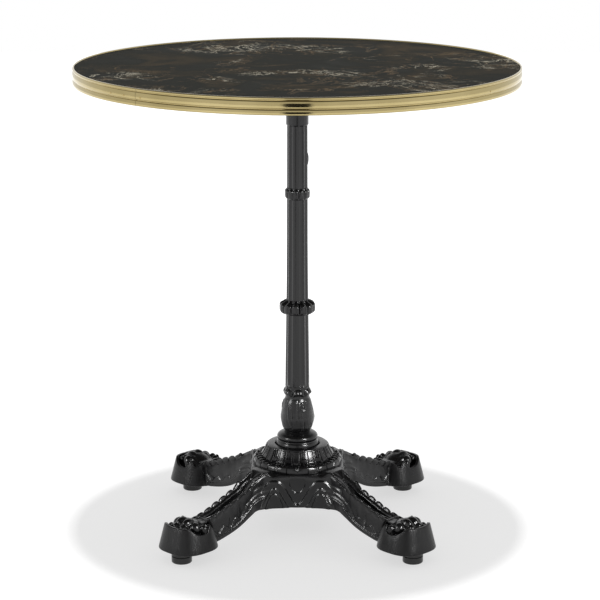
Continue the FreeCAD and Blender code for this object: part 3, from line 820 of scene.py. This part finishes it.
def band_outline():
    """Brass band from its inner top edge round the outside: a bead, then two broad reeds."""
    r, z = TOP_RADIUS, TOP_Z
    bead = [(r - 2.0, z), (r - 1.3, z - 0.2), (r - 0.75, z - 0.8), (r - 0.5, z - 1.6)]
    bead += [(r - 0.55, z - 2.4), (r - 0.9, z - 3.2), (r - 1.5, z - 3.7), (r - 2.1, z - 3.9)]
    upper = [(r - 2.1, z - 4.8), (r - 1.5, z - 5.2), (r - 0.8, z - 6.2), (r - 0.35, z - 7.8)]
    upper += [(r - 0.05, z - 10.2), (r, z - 12.4), (r - 0.05, z - 14.2), (r - 0.5, z - 15.5)]
    upper += [(r - 1.2, z - 16.1), (r - 2.0, z - 16.4)]
    lower = [(r - 2.0, z - 17.3), (r - 1.4, z - 17.6), (r - 0.8, z - 18.5), (r - 0.3, z - 20.0)]
    lower += [(r, z - 22.0), (r - 0.05, z - 23.8), (r - 0.5, z - 25.2), (r - 1.3, z - 25.8)]
    inside = [(r - 2.2, z - 26.0), (r - 3.6, z - 26.0), (r - 3.6, z - 0.4), (r - 3.2, z)]
    return np.array(bead + upper + lower + inside)


def band_piece():
    """The band as an open ring with square ends at its joint."""
    outline = band_outline()
    gap = math.degrees(BAND_GAP / TOP_RADIUS)
    angle = BAND_JOINT_ANGLE + gap / 2 + np.linspace(0, 360.0 - gap, BAND_RINGS)
    points, faces = capped(turned(outline[:, 0][None, :], outline[:, 1][None, :], angle[:, None]))
    return add_piece(
        "rim_band", points, faces, "table", ["rim_band"], [brass()], crease=50.0,
    )


def sheet_piece():
    """The laminate sheet, a disc with a slightly eased top edge."""
    r = SHEET_RADIUS
    outline = [(0.5, SHEET_BOTTOM), (r, SHEET_BOTTOM), (r, SHEET_TOP - 0.2), (r - 0.2, SHEET_TOP)]
    outline += [(r * share, SHEET_TOP) for share in (0.8, 0.55, 0.3, 0.1)]
    outline.append((0.5, SHEET_TOP))
    outline = np.array(outline)
    angle = np.arange(0, 360, 1.0)[None, :]
    points, faces = capped(turned(outline[:, :1], outline[:, 1:], angle))
    return add_piece(
        "top_laminate", points, faces, "table", ["top_laminate"], [marble()],
    )


# ---- materials ------------------------------------------------------------------------------
class Tree:
    """A node tree with short ways to add to it; a value is a number, a colour or a socket."""

    def __init__(self, owner):
        owner.use_nodes = True
        self.nodes = owner.node_tree.nodes
        self.links = owner.node_tree.links

    def plug(self, value, place):
        """Puts a value into an input."""
        if isinstance(value, tuple):
            place.default_value = (*value, 1.0)
        elif isinstance(value, (int, float)):
            place.default_value = value
        else:
            self.links.new(value, place)

    def coords(self, kind):
        """Coordinates of one kind, such as Object for the place on a piece."""
        return self.nodes.new("ShaderNodeTexCoord").outputs[kind]

    def ramp(self, source, low, high, to_low=0.0, to_high=1.0):
        """source taken from low..high to to_low..to_high, held at the ends."""
        node = self.nodes.new("ShaderNodeMapRange")
        names = ("Value", "From Min", "From Max", "To Min", "To Max")
        for name, value in zip(names, (source, low, high, to_low, to_high)):
            self.plug(value, node.inputs[name])
        return node.outputs["Result"]

    def maths(self, operation, first, second):
        """Result of one sum."""
        node = self.nodes.new("ShaderNodeMath")
        node.operation = operation
        self.plug(first, node.inputs[0])
        self.plug(second, node.inputs[1])
        return node.outputs[0]

    def mixed(self, share, first, second):
        """Colour between first and second."""
        node = self.nodes.new("ShaderNodeMix")
        node.data_type = "RGBA"
        self.plug(share, node.inputs["Factor"])
        for name, value in (("A", first), ("B", second)):
            self.plug(value, next(i for i in node.inputs if i.name == name and i.type == "RGBA"))
        return next(o for o in node.outputs if o.type == "RGBA")


class Finish(Tree):
    """A material, with its shader and the place on the piece at hand."""

    def __init__(self, name):
        self.material = bpy.data.materials.new(name)
        super().__init__(self.material)
        self.shader = self.nodes["Principled BSDF"]
        self.place = self.coords("Object")

    def put(self, name, value):
        """Sets one of the shader's inputs."""
        self.plug(value, self.shader.inputs[name])

    def stretched(self, factors):
        """The place on the piece scaled by a factor along each axis."""
        node = self.nodes.new("ShaderNodeMapping")
        node.inputs["Scale"].default_value = factors
        self.plug(self.place, node.inputs["Vector"])
        return node.outputs["Vector"]

    def noise(self, scale, detail=4.0, rough=0.5, distortion=0.0, place=None):
        """A noise texture's factor."""
        node = self.nodes.new("ShaderNodeTexNoise")
        self.plug(self.place if place is None else place, node.inputs["Vector"])
        names = ("Scale", "Detail", "Roughness", "Distortion")
        for name, value in zip(names, (scale, detail, rough, distortion)):
            self.plug(value, node.inputs[name])
        return node.outputs["Fac"]

    def relief(self, height, strength, distance):
        """Fine relief of the surface."""
        node = self.nodes.new("ShaderNodeBump")
        for name, value in (("Height", height), ("Strength", strength), ("Distance", distance)):
            self.plug(value, node.inputs[name])
        self.put("Normal", node.outputs["Normal"])


@functools.cache
def iron():
    """Satin black paint on cast iron: fine cast grain, coarser on the feet."""
    look = Finish("black_iron")
    cloud = look.noise(22.0, 3.0)
    fine = look.noise(900.0, 3.0, 0.6)
    coarse = look.noise(800.0, 4.0, 0.65)
    grain = look.nodes.new("ShaderNodeAttribute")
    grain.attribute_name = "grain"
    amount = grain.outputs["Fac"]
    tone = look.ramp(cloud, 0.35, 0.65)
    look.put("Base Color", look.mixed(tone, (0.003, 0.003, 0.0034), (0.0055, 0.0055, 0.006)))
    dulled = look.maths("MULTIPLY", amount, 0.14)
    look.put("Specular IOR Level", look.maths("SUBTRACT", 0.40, dulled))
    gloss = look.ramp(cloud, 0.3, 0.7, 0.17, 0.26)
    look.put("Roughness", look.maths("ADD", gloss, look.maths("MULTIPLY", amount, 0.08)))
    height = look.maths("ADD", fine, look.maths("MULTIPLY", coarse, 2.0))
    strength = look.maths("ADD", look.maths("MULTIPLY", amount, 0.2), 0.12)
    look.relief(height, strength, 0.0004)
    return look.material


@functools.cache
def brass():
    """Polished brass with faint lengthwise scuffs."""
    look = Finish("polished_brass")
    scuff = look.noise(1.0, 3.0, place=look.stretched((40.0, 40.0, 2200.0)))
    tone = look.ramp(look.noise(9.0), 0.35, 0.65)
    look.put("Base Color", look.mixed(tone, (0.37, 0.30, 0.14), (0.46, 0.38, 0.19)))
    look.put("Metallic", 1.0)
    look.put("Roughness", look.ramp(scuff, 0.3, 0.7, 0.06, 0.12))
    look.relief(scuff, 0.1, 0.0002)
    return look.material


MARBLE_VEINS = [  # noise scale, width, patch level above which they show, colour
    (8.0, 0.012, 0.44, (0.12, 0.085, 0.05)),
    (12.0, 0.011, 0.54, (0.50, 0.46, 0.36)),
    (16.0, 0.010, 0.60, (0.46, 0.43, 0.35)),
]


@functools.cache
def marble():
    """Near-black marbled laminate: brown clouds, and patches of fine brown and cream veins."""
    look = Finish("marbled_laminate")
    cloud = look.noise(9.0, 6.0, 0.6, 0.8)
    patch = look.noise(7.0, 3.0, 0.5, 0.4)
    clouds = look.ramp(cloud, 0.5, 0.72)
    colour = look.mixed(clouds, (0.017, 0.0175, 0.0145), (0.050, 0.040, 0.027))
    for scale, width, level, tone in MARBLE_VEINS:
        vein = look.noise(scale, 7.0, 0.62, 1.4)
        gap = look.maths("ABSOLUTE", look.maths("SUBTRACT", vein, 0.5), 0.0)
        shown = look.ramp(patch, level, level + 0.08)
        streak = look.maths("MULTIPLY", look.ramp(gap, width, 0.0), shown)
        colour = look.mixed(streak, colour, tone)
    look.put("Base Color", colour)
    look.put("Specular IOR Level", 0.001)
    look.put("Roughness", look.ramp(cloud, 0.3, 0.7, 0.34, 0.44))
    look.relief(look.noise(1500.0, 2.0), 0.05, 0.0001)
    return look.material


def plain_finish(name, colour, other, roughness, metallic, scale, depth):
    """A finish with two mottled tones, varied gloss and a fine surface."""
    look = Finish(name)
    cloud = look.noise(scale, 4.0, 0.6)
    look.put("Base Color", look.mixed(look.ramp(cloud, 0.35, 0.65), colour, other))
    look.put("Roughness", look.ramp(cloud, 0.3, 0.7, roughness - 0.06, roughness + 0.06))
    look.put("Metallic", metallic)
    look.relief(look.noise(scale * 12, 3.0), 0.25, depth)
    return look.material


@functools.cache
def steel():
    return plain_finish("zinc_steel", (0.42, 0.42, 0.40), (0.55, 0.54, 0.50), 0.36, 1.0, 90.0, 0.0002)


@functools.cache
def plastic():
    return plain_finish("black_plastic", (0.006,) * 3, (0.010,) * 3, 0.3, 0.0, 120.0, 0.0002)


@functools.cache
def board():
    return plain_finish("particleboard", (0.30, 0.20, 0.11), (0.45, 0.33, 0.20), 0.85, 0.0, 260.0, 0.0006)


@functools.cache
def backing():
    return plain_finish("backing_sheet", (0.05, 0.045, 0.04), (0.08, 0.07, 0.06), 0.6, 0.0, 60.0, 0.0002)


@functools.cache
def pin_brass():
    return plain_finish("brass_pins", (0.50, 0.38, 0.16), (0.32, 0.23, 0.09), 0.3, 1.0, 300.0, 0.0002)


def finish_cad_nodes():
    """Gives each CAD node that is still shown the material of its slot."""
    finishes = {
        "top_core": board, "backing_laminate": backing, "rim_pins": pin_brass, "top_spider": iron,
        "spider_screws": steel, "tie_rod": steel, "top_washer": steel, "top_nut": steel,
        "bottom_washer": steel, "spring_washer": steel, "bottom_nut": steel,
    }
    for name in CORNER_NAMES:
        finishes["glide_pad_" + name] = plastic
        finishes["glide_stud_" + name] = steel
    for node, maker in finishes.items():
        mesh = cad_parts[node].data
        mesh.materials.clear()
        mesh.materials.append(maker())


# ---- studio and camera, in metres -----------------------------------------------------------
FLOOR_HALF = 6.0
FLOOR_GLOW = (0.63, 1.0)  # near the table and far from it
GLOW_REACH = (0.45, 1.6)
MIRRORED_SKY_FADE = (0.42, 0.72, 0.9)  # in reflections the sky fades upwards: from, to, by how much
SKY_HELD_BACK = 0.6  # share of the sky kept out of the soft light
LENS = 134.2
CAMERA_PLACE = (0.0042, -3.4737, 1.2192)
CAMERA_DOWN = 13.64  # degrees below level


def flat_sheet(name, half_x, half_y, place, tilt, material):
    """A stage sheet, one face, tilted about X."""
    mesh = bpy.data.meshes.new(name)
    edges = [(-half_x, -half_y, 0), (half_x, -half_y, 0), (half_x, half_y, 0), (-half_x, half_y, 0)]
    mesh.from_pydata(edges, [], [(0, 1, 2, 3)])
    mesh.materials.append(material)
    sheet = bpy.data.objects.new(name, mesh)
    sheet.location = place
    sheet.rotation_euler = (tilt, 0, 0)
    bpy.context.scene.collection.objects.link(sheet)
    return sheet


def floor_material():
    """Pale floor that glows a little, more so far from the table."""
    look = Finish("studio_floor")
    look.put("Base Color", look.mixed(look.noise(2.0, 3.0), (0.44,) * 3, (0.47,) * 3))
    look.put("Roughness", 0.9)
    look.put("Specular IOR Level", 0.0)
    look.put("Emission Color", (1.0, 1.0, 1.0))
    distance = look.nodes.new("ShaderNodeVectorMath")
    distance.operation = "LENGTH"
    look.plug(look.place, distance.inputs[0])
    glow = look.ramp(distance.outputs["Value"], *GLOW_REACH, *FLOOR_GLOW)
    look.put("Emission Strength", glow)
    look.relief(look.noise(300.0), 0.05, 0.0005)
    return look.material


def area_light(name, place, aim, width, height, power, glossy_only=True):
    """A light for reflections only, or for soft light only."""
    data = bpy.data.lights.new(name, "AREA")
    data.shape = "RECTANGLE"
    data.size = width
    data.size_y = height
    data.energy = power
    light = bpy.data.objects.new(name, data)
    light.location = place
    light.rotation_euler = (Vector(aim) - Vector(place)).to_track_quat("-Z", "Y").to_euler()
    light.visible_diffuse = not glossy_only
    light.visible_glossy = glossy_only
    bpy.context.scene.collection.objects.link(light)
    return light


def card_material():
    """Matt near-black."""
    look = Finish("studio_card")
    look.put("Base Color", look.mixed(look.noise(4.0), (0.01,) * 3, (0.02,) * 3))
    look.put("Roughness", 0.9)
    return look.material


def dark_card():
    """Dark card in front of the table that only shows as a reflection in the band."""
    card = flat_sheet("dark_card", 0.17, 0.42, (0, -1.6, 0.55), math.radians(90), card_material())
    card.visible_camera = False
    card.visible_diffuse = False
    card.visible_shadow = False


def light_only(light, pieces):
    """Keeps a light off everything but the pieces."""
    group = bpy.data.collections.new(light.name + "_lit")
    for piece in pieces:
        group.objects.link(piece)
    light.light_linking.receiver_collection = group


def sky():
    """White surroundings that are dimmer in the soft light and fade upwards in reflections."""
    world = bpy.data.worlds.new("studio")
    tree = Tree(world)
    background = tree.nodes["Background"]
    tree.plug((1.0, 1.0, 1.0), background.inputs["Color"])
    parts = tree.nodes.new("ShaderNodeSeparateXYZ")
    tree.plug(tree.coords("Generated"), parts.inputs["Vector"])
    low, high, most = MIRRORED_SKY_FADE
    fade = tree.ramp(parts.outputs["Z"], low, high, 0.0, most)
    ray = tree.nodes.new("ShaderNodeLightPath").outputs
    mirrored = tree.maths("MULTIPLY", fade, ray["Is Glossy Ray"])
    soft = tree.maths("MULTIPLY", ray["Is Diffuse Ray"], SKY_HELD_BACK)
    strength = tree.maths("SUBTRACT", 1.0, tree.maths("ADD", mirrored, soft))
    tree.plug(strength, background.inputs["Strength"])
    bpy.context.scene.world = world


def studio(cast_pieces):
    """Floor, dark card, surroundings and lights; the side lights act on the castings only."""
    flat_sheet("floor", FLOOR_HALF, FLOOR_HALF, (0, 0, 0), 0, floor_material())
    dark_card()
    sky()
    area_light("overhead", (0, 0, 14.0), (0, 0, 0), 0.5, 0.8, 1150, glossy_only=False)
    key = area_light("key", (1.9, -1.9, 1.5), (0, 0, 0.25), 0.5, 0.9, 100)
    fill = area_light("fill", (-2.4, -1.2, 1.2), (0, 0, 0.3), 0.4, 1.0, 30)
    light_only(key, cast_pieces)
    light_only(fill, cast_pieces)
    bpy.context.scene.view_settings.view_transform = "Standard"


def camera():
    """Long lens a little above the top, looking down at the middle of the table."""
    data = bpy.data.cameras.new("camera")
    data.lens = LENS
    data.sensor_width = 36
    data.clip_end = 50
    eye = bpy.data.objects.new("camera", data)
    eye.location = CAMERA_PLACE
    eye.rotation_euler = (math.radians(90 - CAMERA_DOWN), 0, 0)
    bpy.context.scene.collection.objects.link(eye)
    bpy.context.scene.camera = eye


cast_pieces = [column_piece(), base_piece()]
band_piece()
sheet_piece()
finish_cad_nodes()
studio(cast_pieces)
camera()
